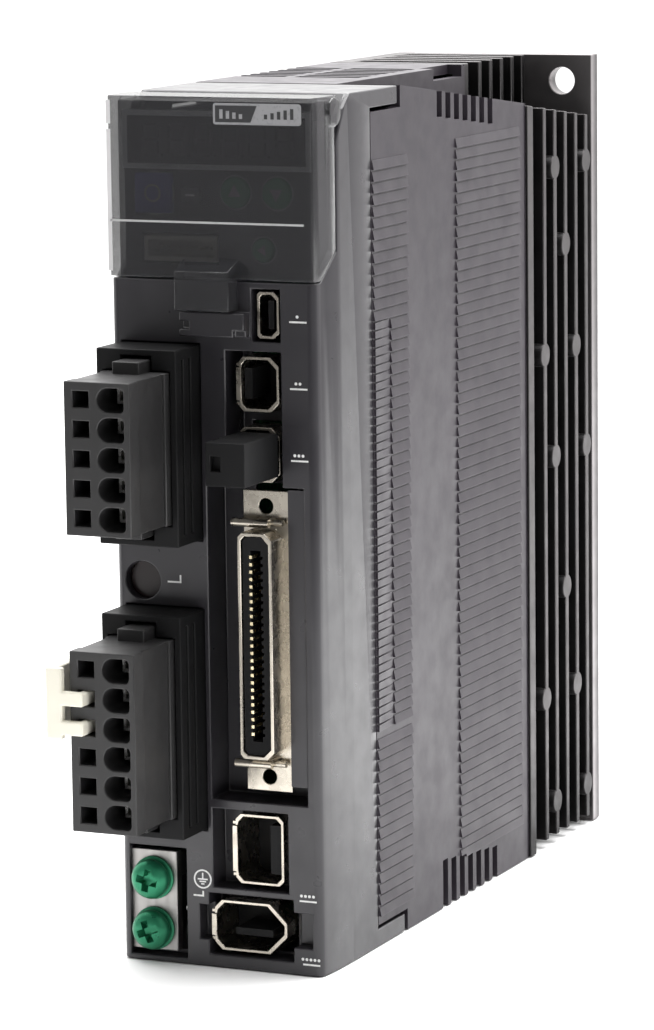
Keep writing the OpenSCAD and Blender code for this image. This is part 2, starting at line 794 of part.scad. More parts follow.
// Spring steel cage at the bottom of each wire entry
module clamps(ways, z) {
    for (i = [0 : ways - 1]) translate([wire_x, 0, way_z(ways, z, i)]) difference() {
        block([-1.6, plug_y + 6, -1.3], [1.8, plug_y + entry_depth, 1.3]);
        block([-1.1, plug_y + 5, -0.8], [1.3, plug_y + entry_depth - 0.5, 0.8]);
    }
}

module supply_header() color("#1c1c1e") header(supply_ways, supply_z);
module supply_pins() color("gainsboro") header_pins(supply_ways, supply_z);
module supply_plug() color("#2c2c2e") plug(supply_ways, supply_z);
module supply_clamps() color("silver") clamps(supply_ways, supply_z);
module motor_header() color("#1c1c1e") header(motor_ways, motor_z);
module motor_pins() color("gainsboro") header_pins(motor_ways, motor_z);
module motor_plug() color("#2c2c2e") plug(motor_ways, motor_z);
module motor_clamps() color("silver") clamps(motor_ways, motor_z);

// Ivory lever hooked into two tool slots of the motor plug, pressed to open the clamps
module opener_lever() color("ivory") {
    upper = way_z(motor_ways, motor_z, 1);
    lower = way_z(motor_ways, motor_z, 2);
    block([-19.8, plug_y - 1.8, lower - 2], [-18.2, plug_y + 8, upper + 5.2]);
    block([-19.8, plug_y - 1.8, lower - 2], [-16.8, plug_y - 0.3, upper + 5.2]);
    for (z = [lower, upper]) {
        block([-17, plug_y - 1.8, z - 1.2], [-12.9, plug_y - 0.3, z + 1.2]);
        block([-14.1, plug_y - 0.4, z - 1.2], [-12.9, plug_y + 5, z + 1.2]);
    }
}

// ---- Ground terminal ----

module ground_plate() color("gainsboro") {
    difference() {
        union() {
            slab(ground_box, ground_y, ground_y + ground_t);
            block([-17.6, ground_y, 10.5], [-16.6, web_front_y, 15]);
        }
        for (z = ground_z)
            rod_y(ground_x, z, ground_y - 1, ground_y + ground_t + 1, ground_shank_r + pin_play);
    }
}

// Pan head screw with a cross recess, over a captive square washer
module ground_screw(z) {
    head_y = ground_y - 1.1;
    difference() {
        union() {
            rod_y(ground_x, z, head_y - ground_head_h * 0.6, head_y, ground_head_r);
            translate([ground_x, head_y - ground_head_h * 0.6, z]) rotate([90, 0, 0])
                cylinder(h = ground_head_h * 0.4, r1 = ground_head_r, r2 = ground_head_r * 0.72);
            rod_y(ground_x, z, head_y - eps, ground_y - 0.05, ground_head_r * 1.08);
        }
        for (a = [45, 135]) translate([ground_x, head_y - ground_head_h - 1, z]) rotate([0, a, 0])
            block([-2.1, 0, -0.5], [2.1, 2.4, 0.5]);
    }
    rod_y(ground_x, z, ground_y - 0.06, ground_y + 7, ground_shank_r);
}

module upper_ground_screw() color("seagreen") ground_screw(ground_z[1]);
module lower_ground_screw() color("seagreen") ground_screw(ground_z[0]);

// ---- Circuit boards and what they carry ----

module board(x, y, z0, z1) {
    difference() {
        block([x, y, z0], [x + board_t, board_rear_y, z1]);
        for (at = spacer_at) rod_x(at[0], at[1], x - 1, x + board_t + 1, screw_r + 0.15);
    }
}

module control_board() color("darkgreen") board(control_board_x, control_board_y, 5, 140);

module control_chips() color("#252525") {
    block([control_board_x - 1.4, -92, 66], [control_board_x, -76, 82]);
    block([control_board_x - 1.2, -90, 90], [control_board_x, -80, 108]);
    block([control_board_x - 1.2, -70, 64], [control_board_x, -60, 74]);
    block([control_board_x - 2.2, -68, 92], [control_board_x, -58, 102]);
    for (i = [0 : 4]) block([control_board_x - 1, -96 + 8 * i, 46], [control_board_x, -91 + 8 * i, 50]);
}

module power_board() color("#2b5a34") board(power_board_x, power_board_y, 10, 140);

module bus_capacitors() color("#26305a") {
    for (z = [88, 104]) capacitor(z);
}

// Capacitor lying along Y, with a rolled groove near its base
module capacitor(z) {
    x = power_board_x - 7.2;
    difference() {
        rod_y(x, z, -106, -66, 7.2);
        translate([x, -103, z]) rotate([90, 0, 0]) rotate_extrude() translate([7.4, 0]) circle(r = 0.8);
    }
}

module inrush_relay() color("#1f1f24") {
    block([power_board_x - 14.4, -104, 44], [power_board_x, -84, 56]);
}

// Ring core choke standing on the power board
module filter_choke() color("#8a5a2a") {
    translate([power_board_x - 3.2, -92, 68]) rotate([0, 90, 0])
        rotate_extrude() translate([6.5, 0]) circle(r = 3.2);
}

module power_module() color("#2a2a2a") {
    difference() {
        block([-16.5, web_front_y - 6.3, 46], [-3.6, web_front_y - 0.3, 116]);
        for (z = module_screw_z) rod_y(module_x, z, web_front_y - 8, web_front_y + 1, 1.6);
    }
}

module thermal_pad() color("#c8c8d0") {
    difference() {
        block([-16.5, web_front_y - 0.3, 46], [-3.6, web_front_y, 116]);
        for (z = module_screw_z) rod_y(module_x, z, web_front_y - 8, web_front_y + 1, 1.6);
    }
}

module module_screws() color("silver") {
    for (z = module_screw_z) {
        rod_y(module_x, z, web_front_y - 8.3, web_front_y - 6.3, 2.6);
        rod_y(module_x, z, web_front_y - 6.3 - eps, web_rear_y - 0.6, screw_r);
    }
}

module board_spacers() color("#c9a24a") {
    for (at = spacer_at) difference() {
        rod_x(at[0], at[1], power_board_x + board_t, control_board_x, spacer_r);
        rod_x(at[0], at[1], power_board_x, power_board_x + board_t + 5, screw_r + 0.05);
        rod_x(at[0], at[1], control_board_x - 5, control_board_x + 1, screw_r + 0.05);
    }
}

module board_screws() color("silver") {
    for (at = spacer_at) {
        rod_x(at[0], at[1], power_board_x - 1.6, power_board_x, 2.6);
        rod_x(at[0], at[1], power_board_x - eps, power_board_x + board_t + 4.5, screw_r);
        rod_x(at[0], at[1], control_board_x + board_t, control_board_x + board_t + 1.6, 2.6);
        rod_x(at[0], at[1], control_board_x - 4.5, control_board_x + board_t + eps, screw_r);
    }
}

heat_sink();
rear_case();
front_case();
display_cover();
operation_panel();
display_window();
display_module();
display_board();
mode_button();
set_button();
shift_button();
up_button();
down_button();
key_switches();
monitor_socket();
charge_lens();
usb_shell();
usb_insert();
expansion_shell();
expansion_insert();
safety_shell();
safety_insert();
safety_plug();
scale_shell();
scale_insert();
encoder_shell();
encoder_insert();
io_flange();
io_insert();
io_contacts();
io_latch_bars();
supply_header();
supply_pins();
supply_plug();
supply_clamps();
motor_header();
motor_pins();
motor_plug();
motor_clamps();
opener_lever();
ground_plate();
upper_ground_screw();
lower_ground_screw();
control_board();
control_chips();
power_board();
bus_capacitors();
inrush_relay();
filter_choke();
power_module();
thermal_pad();
module_screws();
board_spacers();
board_screws();
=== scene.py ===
"""Looks of the slim servo drive: rounded mouldings, printed marks and procedural materials."""
import json
import math

import bmesh
import bpy
from mathutils import Matrix, Vector


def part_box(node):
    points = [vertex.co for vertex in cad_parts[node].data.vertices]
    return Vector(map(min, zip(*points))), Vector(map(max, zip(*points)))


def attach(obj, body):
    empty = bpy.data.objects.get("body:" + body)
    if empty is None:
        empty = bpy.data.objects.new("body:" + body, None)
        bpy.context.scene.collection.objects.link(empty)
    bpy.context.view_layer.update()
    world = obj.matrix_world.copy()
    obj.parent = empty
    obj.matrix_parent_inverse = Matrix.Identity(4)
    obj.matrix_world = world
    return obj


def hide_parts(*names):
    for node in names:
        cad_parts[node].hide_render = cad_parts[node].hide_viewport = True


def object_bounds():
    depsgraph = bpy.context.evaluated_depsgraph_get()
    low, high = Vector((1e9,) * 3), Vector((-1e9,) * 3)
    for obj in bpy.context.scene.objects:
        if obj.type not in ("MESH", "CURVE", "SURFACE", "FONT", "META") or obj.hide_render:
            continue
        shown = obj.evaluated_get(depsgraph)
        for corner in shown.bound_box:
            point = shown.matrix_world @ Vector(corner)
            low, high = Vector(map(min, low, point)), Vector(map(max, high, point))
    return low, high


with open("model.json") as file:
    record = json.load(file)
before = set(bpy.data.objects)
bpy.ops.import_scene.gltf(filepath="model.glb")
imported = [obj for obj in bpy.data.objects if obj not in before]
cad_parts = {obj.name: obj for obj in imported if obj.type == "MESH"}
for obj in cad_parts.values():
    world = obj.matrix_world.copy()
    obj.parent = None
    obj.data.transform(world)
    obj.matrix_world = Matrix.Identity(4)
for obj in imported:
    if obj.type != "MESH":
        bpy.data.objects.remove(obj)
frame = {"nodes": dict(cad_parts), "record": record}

CAD_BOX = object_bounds()
MM = 0.001
RECORD = frame["record"]
BODY_OF = {node: body for body, nodes in RECORD["behaviour"]["bodies"].items() for node in nodes}
SLOT_OF = {part["node"]: part["material_slot"] for part in RECORD["subparts"]}

# The plane of the front and of the cover's face, which the printing lies on
FRONT_Y = -0.132
COVER_FRONT_Y = -0.132
# How far printing stands off the surface that it is on
PRINT_T = 0.03 * MM
# Vertices of a CAD mesh closer than this are one
WELD = 1e-6

# CAD nodes whose edges are rounded, with the width of the rounding in millimetres
SOFTENED = {
    "heat_sink": 0.16, "front_case": 0.2, "display_cover": 0.14, "supply_plug": 0.18,
    "motor_plug": 0.18, "supply_header": 0.2, "motor_header": 0.2, "safety_plug": 0.12,
    "opener_lever": 0.3, "ground_plate": 0.15, "io_flange": 0.12, "expansion_shell": 0.08,
    "safety_shell": 0.08, "scale_shell": 0.08, "encoder_shell": 0.08, "usb_shell": 0.08,
    "operation_panel": 0.12, "mode_button": 0.25, "set_button": 0.2, "up_button": 0.25,
    "down_button": 0.25, "shift_button": 0.25, "monitor_socket": 0.12,
}
# Nodes whose inward edges are rounded too, and nodes whose side walls curve in at the front
ROUNDED_INSIDE = ("front_case",)
EASED = ("front_case", "display_cover")
# Nodes that a piece built here stands for, and a node given a darker material than its slot as
# painted shade
REPLACED = ("upper_ground_screw", "lower_ground_screw", "io_contacts")
DARKER_FOR_SHADE = {"safety_plug": "black_plastic"}


# ---------------------------------------------------------------- camera, light and floor

def make_camera():
    """Camera at the photograph's viewing angle, a long lens above and right of the front."""
    azimuth, elevation, roll = math.radians(24.05), math.radians(8.97), math.radians(-0.71)
    distance = 0.8314
    target = Vector((-0.0089, -0.066, 0.0698))
    back = Vector((math.sin(azimuth) * math.cos(elevation),
                   -math.cos(azimuth) * math.cos(elevation), math.sin(elevation)))
    right = (-back).cross(Vector((0, 0, 1))).normalized()
    up = right.cross(-back)
    turned_right = right * math.cos(roll) + up * math.sin(roll)
    turned_up = up * math.cos(roll) - right * math.sin(roll)
    data = bpy.data.cameras.new("camera")
    data.lens = 157.7
    data.sensor_width = 36
    data.shift_x = 0.0014
    data.shift_y = -0.006
    data.clip_start = 0.01
    camera = bpy.data.objects.new("camera", data)
    bpy.context.collection.objects.link(camera)
    rows = Matrix((turned_right, turned_up, back)).transposed().to_4x4()
    camera.matrix_world = Matrix.Translation(target + back * distance) @ rows
    bpy.context.scene.camera = camera


def area_light(name, place, aim, size, watts, colour=(1, 1, 1)):
    """A rectangular softbox at place, turned towards aim."""
    data = bpy.data.lights.new(name, "AREA")
    data.shape = "RECTANGLE"
    data.size, data.size_y = size
    data.energy = watts
    data.color = colour
    light = bpy.data.objects.new(name, data)
    bpy.context.collection.objects.link(light)
    light.location = place
    light.rotation_euler = (Vector(aim) - Vector(place)).to_track_quat("-Z", "Y").to_euler()


def product_of_fades(tree, source, fades):
    """Multiplies smooth fades, each an axis, where it starts and stops, and its values there."""
    parts = tree.nodes.new("ShaderNodeSeparateXYZ")
    tree.links.new(source, parts.inputs["Vector"])
    product = None
    for axis, start, stop, before, after in fades:
        fade = tree.nodes.new("ShaderNodeMapRange")
        fade.interpolation_type = "SMOOTHSTEP"
        for socket, value in (("From Min", start), ("From Max", stop), ("To Min", before),
                              ("To Max", after)):
            fade.inputs[socket].default_value = value
        tree.links.new(parts.outputs[axis], fade.inputs["Value"])
        if product is None:
            product = fade.outputs["Result"]
            continue
        multiply = tree.nodes.new("ShaderNodeMath")
        multiply.operation = "MULTIPLY"
        tree.links.new(product, multiply.inputs[0])
        tree.links.new(fade.outputs["Result"], multiply.inputs[1])
        product = multiply.outputs["Value"]
    return product


def make_surroundings():
    """White surroundings, dimmer in front of the drive and far to its right, brighter above."""
    world = bpy.data.worlds.new("studio")
    world.use_nodes = True
    tree = world.node_tree
    direction = tree.nodes.new("ShaderNodeTexCoord").outputs["Generated"]
    strength = product_of_fades(tree, direction, (("Y", -0.7, 0.2, 0.12, 1.0),
                                                  ("Z", 0.0, 0.16, 1.0, 2.2),
                                                  ("X", 0.2, 0.75, 1.0, 0.4)))
    background = tree.nodes["Background"]
    background.inputs["Color"].default_value = (1.0, 0.995, 0.99, 1)
    tree.links.new(strength, background.inputs["Strength"])
    bpy.context.scene.world = world
    bpy.context.scene.view_settings.view_transform = "Standard"


def make_floor():
    """White paper floor that falls off to grey in front of the drive and to its right."""
    reach, gap = 6, 0.2 * MM
    height = CAD_BOX[0][2] - gap
    mesh = bpy.data.meshes.new("floor")
    corners = ((-reach, -reach), (reach, -reach), (reach, reach), (-reach, reach))
    mesh.from_pydata([(x, y, height) for x, y in corners], [], [(0, 1, 2, 3)])
    floor = bpy.data.objects.new("floor", mesh)
    bpy.context.collection.objects.link(floor)
    paper = bpy.data.materials.new("white_paper")
    paper.use_nodes = True
    tree = paper.node_tree
    shader = tree.nodes["Principled BSDF"]
    shader.inputs["Roughness"].default_value = 0.9
    place = tree.nodes.new("ShaderNodeTexCoord").outputs["Object"]
    white = product_of_fades(tree, place, (("Y", -0.6, -0.25, 0.2, 1.0),
                                           ("X", 0.2, 0.7, 0.93, 0.3)))
    tree.links.new(white, shader.inputs["Base Color"])
    floor.data.materials.append(paper)


def make_studio():
    """Three softboxes round the drive, its surroundings and its floor."""
    middle = (0, -0.07, 0.07)
    area_light("top_softbox", (0.05, 0.1, 0.8), middle, (0.9, 0.7), 16)
    area_light("side_softbox", (0.55, 0.9, 0.2), middle, (0.5, 0.9), 0.9, (1, 0.95, 0.99))
    area_light("front_softbox", (0.75, -0.75, 0.55), middle, (0.4, 0.6), 0.7)
    make_surroundings()
    make_floor()


# ---------------------------------------------------------------- materials

class Graph:
    """A material's node graph, with the few nodes that the surfaces here are made of."""

    def __init__(self, name):
        self.material = bpy.data.materials.new(name)
        self.material.use_nodes = True
        self.nodes = self.material.node_tree.nodes
        self.links = self.material.node_tree.links
        self.shader = self.nodes["Principled BSDF"]
        self.place = self.nodes.new("ShaderNodeTexCoord").outputs["Object"]

    def set(self, **values):
        """Sets constants on the shader's own sockets."""
        for name, value in values.items():
            self.shader.inputs[name.replace("_", " ")].default_value = value

    def feed(self, socket, source):
        """Links a source to one of the shader's own sockets."""
        self.links.new(source, self.shader.inputs[socket])

    def noise(self, scale, detail=2.0, stretch=None, roughness=0.5):
        """Fractal noise, squeezed along each axis by the factors in stretch."""
        node = self.nodes.new("ShaderNodeTexNoise")
        node.inputs["Scale"].default_value = scale
        node.inputs["Detail"].default_value = detail
        node.inputs["Roughness"].default_value = roughness
        source = self.place
        if stretch:
            mapping = self.nodes.new("ShaderNodeMapping")
            mapping.inputs["Scale"].default_value = stretch
            self.links.new(source, mapping.inputs["Vector"])
            source = mapping.outputs["Vector"]
        self.links.new(source, node.inputs["Vector"])
        return node.outputs["Fac"]

    def spread(self, source, low, high, start=0.3, stop=0.7):
        """The source's range from start to stop, spread over low to high."""
        node = self.nodes.new("ShaderNodeMapRange")
        node.inputs["From Min"].default_value = start
        node.inputs["From Max"].default_value = stop
        node.inputs["To Min"].default_value = low
        node.inputs["To Max"].default_value = high
        self.links.new(source, node.inputs["Value"])
        return node.outputs["Result"]

    def ramp(self, source, stops):
        """Turns the source into a colour; stops is a list of (place, colour)."""
        node = self.nodes.new("ShaderNodeValToRGB")
        ramp = node.color_ramp
        while len(ramp.elements) < len(stops):
            ramp.elements.new(0.5)
        for element, (place, colour) in zip(ramp.elements, stops):
            element.position = place
            element.color = (*colour, 1)
        self.links.new(source, node.inputs["Fac"])
        return node.outputs["Color"]

    def edges(self, width):
        """Near 1 along convex and concave edges within width, 0 on the flats."""
        soft = self.nodes.new("ShaderNodeBevel")
        soft.samples = 4
        soft.inputs["Radius"].default_value = width
        sharp = self.nodes.new("ShaderNodeNewGeometry")
        dot = self.nodes.new("ShaderNodeVectorMath")
        dot.operation = "DOT_PRODUCT"
        self.links.new(soft.outputs["Normal"], dot.inputs[0])
        self.links.new(sharp.outputs["Normal"], dot.inputs[1])
        return self.spread(dot.outputs["Value"], 1, 0, 0.8, 0.995)

    def along(self, axis):
        """The place along one axis of the shared frame."""
        node = self.nodes.new("ShaderNodeSeparateXYZ")
        self.links.new(self.place, node.inputs["Vector"])
        return node.outputs[axis]

    def openness(self, reach):
        """1 on open faces, lower inside slots narrower than reach."""
        node = self.nodes.new("ShaderNodeAmbientOcclusion")
        node.samples = 6
        node.inputs["Distance"].default_value = reach
        return node.outputs["AO"]

    def mix(self, share, first, second):
        """Colour first where share is 0, colour second where it is 1."""
        node = self.nodes.new("ShaderNodeMix")
        node.data_type = "RGBA"
        self.links.new(share, node.inputs["Factor"])
        for socket, colour in ((node.inputs["A"], first), (node.inputs["B"], second)):
            for candidate in [s for s in node.inputs if s.name == socket.name and s.type == "RGBA"]:
                if isinstance(colour, tuple):
                    candidate.default_value = (*colour, 1)
                else:
                    self.links.new(colour, candidate)
        return [out for out in node.outputs if out.type == "RGBA"][0]

    def bump(self, *layers):
        """Stacks (height source, strength, distance) layers into the shader's normal."""
        normal = None
        for height, strength, distance in layers:
            node = self.nodes.new("ShaderNodeBump")
            node.inputs["Strength"].default_value = strength
            node.inputs["Distance"].default_value = distance
            self.links.new(height, node.inputs["Height"])
            if normal:
                self.links.new(normal, node.inputs["Normal"])
            normal = node.outputs["Normal"]
        self.links.new(normal, self.shader.inputs["Normal"])


def shade(colour, factor):
    """The colour made lighter or darker."""
    return tuple(min(1.0, c * factor) for c in colour)


def plastic(name, colour, rough, grain, wear_and_sheen=0.5, coat=0.0, specular=0.5):
    """Moulded plastic: spark-eroded grain, faint flow marks, edges lighter, partly worn and partly
    painted highlight.
    """
    g = Graph(name)
    flow = g.noise(60, 3, (1, 1, 0.35))
    base = g.ramp(flow, [(0.3, shade(colour, 0.9)), (0.7, shade(colour, 1.1))])
    # Edges painted lighter: partly worn, partly a painted highlight
    rubbed_and_highlit = tuple(c + 0.05 * wear_and_sheen for c in shade(colour, 1 + 0.6 * wear_and_sheen))
    g.feed("Base Color", g.mix(g.edges(0.25 * MM), base, rubbed_and_highlit) if wear_and_sheen else base)
    g.feed("Roughness", g.spread(g.noise(240, 3), rough - 0.05, rough + 0.07))
    g.set(Coat_Weight=coat, Coat_Roughness=0.12, IOR=1.5, Specular_IOR_Level=specular)
    g.bump((g.noise(2600, 2), grain, 0.02 * MM), (g.noise(45, 2), 0.12, 0.05 * MM))
    return g.material


def metal(name, colour, rough, grain=0.1, brush=None, mottle=0.08, scale=900, metallic=1.0):
    """Bare or plated metal with mottled roughness and, where it is rolled or drawn, brush lines."""
    g = Graph(name)
    patch = g.noise(90, 4)
    base = g.ramp(patch, [(0.3, shade(colour, 1 - mottle)), (0.7, shade(colour, 1 + mottle))])
    # Edges painted a little lighter: partly worn, partly a painted highlight
    g.feed("Base Color", g.mix(g.edges(0.2 * MM), base, shade(colour, 1.12)))
    g.set(Metallic=metallic)
    lines = g.noise(scale, 3, brush)
    g.feed("Roughness", g.spread(lines, rough - 0.08, rough + 0.12))
    g.bump((lines, grain, 0.02 * MM))
    return g.material


def cast_aluminium():
    """Die-cast alloy: fine sandy skin, shallow flow ripples and brighter edges, partly worn, partly
    painted highlight.

    Dark fins with painted shade in their depths; painted light on the rear plate's front, painted
    shade behind.
    """
    g = Graph("cast_aluminium")
    cloud = g.noise(35, 5, None, 0.6)
    skin = g.ramp(cloud, [(0.3, (0.07, 0.066, 0.067)), (0.7, (0.1, 0.095, 0.096))])
    # Painted shade: deep in the gaps between fins, where little is open, the colour goes near
    # black; the edges are painted paler, partly worn and partly a painted highlight
    depth = g.ramp(g.openness(24 * MM), [(0.4, (0.0, 0.0, 0.0)), (0.75, (0.25, 0.25, 0.25)),
                                         (0.98, (1.0, 1.0, 1.0))])
    fins = g.mix(g.edges(0.25 * MM), g.mix(depth, (0.006, 0.0057, 0.006), skin), (0.2, 0.19, 0.192))
    # Painted light on the rear plate's front face and painted shade on its back: one casting in a
    # pale copy and a dark copy
    plate_painted_light = g.ramp(cloud, [(0.3, (0.3, 0.28, 0.283)), (0.7, (0.4, 0.375, 0.38))])
    back_painted_shade = g.ramp(cloud, [(0.3, (0.1, 0.096, 0.097)), (0.7, (0.14, 0.134, 0.136))])
    depth_in = g.along("Y")
    front_part = g.mix(g.spread(depth_in, 0, 1, -3.6 * MM, -3.2 * MM), fins, plate_painted_light)
    g.feed("Base Color", g.mix(g.spread(depth_in, 0, 1, -3.1 * MM, -1 * MM), front_part, back_painted_shade))
    g.set(Metallic=0.75)
    g.feed("Roughness", g.spread(g.noise(300, 4), 0.42, 0.58))
    g.bump((g.noise(2200, 3), 0.35, 0.03 * MM), (g.noise(120, 2), 0.15, 0.08 * MM))
    return g.material


def smoked_plastic():
    """Clear grey polycarbonate, glossy, with hairline scratches."""
    g = Graph("smoked_plastic")
    g.feed("Base Color", g.ramp(g.noise(50, 2), [(0.3, (0.028, 0.028, 0.0305)),
                                                 (0.7, (0.036, 0.036, 0.0395))]))
    g.feed("Roughness", g.spread(g.noise(700, 3, (0.2, 1, 1)), 0.1, 0.17))
    g.set(Alpha=0.62, IOR=1.58, Coat_Weight=0.35, Coat_Roughness=0.15)
    g.bump((g.noise(900, 2, (0.05, 1, 1)), 0.03, 0.02 * MM))
    return g.material


def printed_ink(name, colour):
    """Screen-printed ink with tiny pinholes."""
    g = Graph(name)
    g.feed("Base Color", g.ramp(g.noise(1800, 3), [(0.32, shade(colour, 0.82)), (0.45, colour)]))
    g.feed("Roughness", g.spread(g.noise(900, 2), 0.5, 0.62))
    g.bump((g.noise(2400, 2), 0.1, 0.01 * MM))
    return g.material


def circuit_board():
    """Green solder resist over faint copper tracks."""
    g = Graph("circuit_board")
    tracks = g.nodes.new("ShaderNodeTexBrick")
    tracks.inputs["Scale"].default_value = 160
    tracks.inputs["Mortar Size"].default_value = 0.05
    tracks.inputs["Color1"].default_value = (0.012, 0.10, 0.04, 1)
    tracks.inputs["Color2"].default_value = (0.016, 0.13, 0.05, 1)
    tracks.inputs["Mortar"].default_value = (0.03, 0.2, 0.08, 1)
    turn = g.nodes.new("ShaderNodeMapping")
    turn.inputs["Rotation"].default_value = (0, math.radians(90), 0)
    g.links.new(g.place, turn.inputs["Vector"])
    g.links.new(turn.outputs["Vector"], tracks.inputs["Vector"])
    g.feed("Base Color", tracks.outputs["Color"])
    g.set(Coat_Weight=0.4, Coat_Roughness=0.2)
    g.feed("Roughness", g.spread(g.noise(400, 2), 0.35, 0.5))
    g.bump((tracks.outputs["Fac"], 0.2, 0.03 * MM))
    return g.material


def winding():
    """Enamelled wire laid round a ring."""
    g = Graph("copper_winding")
    wave = g.nodes.new("ShaderNodeTexWave")
    wave.inputs["Scale"].default_value = 420
    wave.inputs["Distortion"].default_value = 1.5
    g.links.new(g.place, wave.inputs["Vector"])
    turns = wave.outputs["Fac"]
    g.feed("Base Color", g.ramp(turns, [(0.2, (0.16, 0.05, 0.015)), (0.8, (0.55, 0.22, 0.07))]))
    g.set(Metallic=0.7, Roughness=0.35)
    g.bump((turns, 0.6, 0.2 * MM))
    return g.material


def translucent(name, colour, alpha, rough=0.12):
    """Tinted glossy plastic that a little light goes through."""
    g = Graph(name)
    g.feed("Base Color", g.ramp(g.noise(80, 2), [(0.3, shade(colour, 0.85)),
                                                 (0.7, shade(colour, 1.1))]))
    g.feed("Roughness", g.spread(g.noise(500, 2), rough - 0.03, rough + 0.05))
    g.set(Alpha=alpha, IOR=1.5)
    g.bump((g.noise(1200, 2), 0.04, 0.01 * MM))
    return g.material


def make_materials():
    """One material for each of the record's slots, and a few more for printing, marks and a painted
    highlight.
    """
    return {
        "cast_aluminium": cast_aluminium(),
        "case_plastic": plastic("case_plastic", (0.034, 0.0285, 0.036), 0.4, 0.2, specular=0.3),
        "front_plastic": plastic("front_plastic", (0.023, 0.0215, 0.0255), 0.32, 0.14,
                                 coat=0.1),
        "smoked_plastic": smoked_plastic(),
        "panel_plastic": plastic("panel_plastic", (0.05, 0.05, 0.055), 0.5, 0.2),
        "display_glass": translucent("display_glass", (0.02, 0.012, 0.012), 0.9),
        "black_plastic": plastic("black_plastic", (0.01, 0.01, 0.0105), 0.5, 0.18, wear_and_sheen=0.2,
                                 specular=0.13),
        "plug_plastic": plastic("plug_plastic", (0.021, 0.0205, 0.021), 0.45, 0.2, wear_and_sheen=0.3,
                                specular=0.45),
        "nickel_plate": metal("nickel_plate", (0.5, 0.46, 0.395), 0.24, 0.03, mottle=0.04,
                              scale=400),
        "tin_plate": metal("tin_plate", (0.36, 0.35, 0.34), 0.4, 0.12, (1, 1, 0.1)),
        "gold_plate": metal("gold_plate", (0.93, 0.8, 0.52), 0.25, 0.05),
        "green_screw": metal("green_screw", (0.02, 0.2, 0.1), 0.34, 0.08, mottle=0.12,
                             metallic=0.6),
        "ivory_plastic": plastic("ivory_plastic", (0.82, 0.79, 0.68), 0.35, 0.1, wear_and_sheen=0.2),
        "key_blue": plastic("key_blue", (0.09, 0.09, 0.42), 0.45, 0.15, wear_and_sheen=0.2),
        "key_grey": plastic("key_grey", (0.12, 0.12, 0.13), 0.45, 0.15, wear_and_sheen=0.2),
        "key_green": plastic("key_green", (0.03, 0.3, 0.12), 0.45, 0.15, wear_and_sheen=0.2),
        # Lens near black: partly its own dark tint, partly painted shade of its recess
        "lamp_lens": translucent("lamp_lens", (0.012, 0.003, 0.003), 0.94, 0.3),
        "circuit_board": circuit_board(),
        "component_black": plastic("component_black", (0.02, 0.02, 0.021), 0.55, 0.3,
                                   wear_and_sheen=0.0),
        "capacitor_sleeve": plastic("capacitor_sleeve", (0.015, 0.02, 0.06), 0.3, 0.1,
                                    wear_and_sheen=0.0),
        "copper_winding": winding(),
        "brass_spacer": metal("brass_spacer", (0.8, 0.62, 0.3), 0.28),
        "steel_screw": metal("steel_screw", (0.66, 0.66, 0.66), 0.3),
        "spring_steel": metal("spring_steel", (0.75, 0.74, 0.72), 0.26),
        "gap_pad": plastic("gap_pad", (0.35, 0.35, 0.4), 0.7, 0.3, wear_and_sheen=0.0),
        "white_ink": printed_ink("white_ink", (0.75, 0.75, 0.74)),
        "grey_ink": printed_ink("grey_ink", (0.5, 0.5, 0.5)),
        "badge_grey": printed_ink("badge_grey", (0.3, 0.3, 0.31)),
        "frame_grey": plastic("frame_grey", (0.85, 0.85, 0.86), 0.5, 0.1, wear_and_sheen=0.0),
        "dark_ink": printed_ink("dark_ink", (0.03, 0.03, 0.033)),
        # Pale grey for the painted highlight down the cover's left edge
        "edge_highlight_grey": plastic("edge_highlight_grey", (0.7, 0.69, 0.7), 0.35, 0.1, wear_and_sheen=0.2),
        "segment": plastic("segment", (0.02, 0.012, 0.012), 0.4, 0.05, wear_and_sheen=0.0),
    }


# ---------------------------------------------------------------- pieces

def add_piece(name, mesh, material, body, replaces=()):
    """Makes an object of the mesh that rides on a body, and may take a slot and replace nodes."""
    piece = bpy.data.objects.new(name, mesh)
    bpy.context.collection.objects.link(piece)
    mesh.materials.clear()
    mesh.materials.append(MATERIALS[material])
    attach(piece, body)
    if replaces:
        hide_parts(*replaces)
    return piece


def is_curved(face):
    """True for a narrow face that meets a neighbour at a shallow angle, like a round's facets."""
    widest, shallowest, steepest = 1.2 * MM, math.radians(1), math.radians(35)
    if face.calc_area() > widest * max(edge.calc_length() for edge in face.edges):
        return False
    angles = [edge.calc_face_angle(0) for edge in face.edges if len(edge.link_faces) == 2]
    return any(shallowest < angle < steepest for angle in angles)


def ease_sides(work):
    """Curves the side walls in by 0.55 mm over their last 12 mm, and returns what moved."""
    start, fullness, wall = -120 * MM, 318, 17.6 * MM
    slices, spacing = 6, 2
    for step in range(slices):
        bmesh.ops.bisect_plane(work, geom=work.verts[:] + work.edges[:] + work.faces[:],
                               plane_co=(0, start - spacing * step * MM, 0), plane_no=(0, 1, 0))
    moved = [v for v in work.verts if abs(v.co.x) > wall and v.co.y < start]
    for v in moved:
        v.co.x -= math.copysign(fullness * (start - v.co.y) ** 3, v.co.x)
    return set(moved)


def plane_key(face, shift=0):
    """The plane a face lies in, as a key that coplanar faces share."""
    step = 2e-3 * MM
    height = round(face.normal.dot(face.verts[0].co) / step)
    return (*(round(c, 2) for c in face.normal), height + shift)


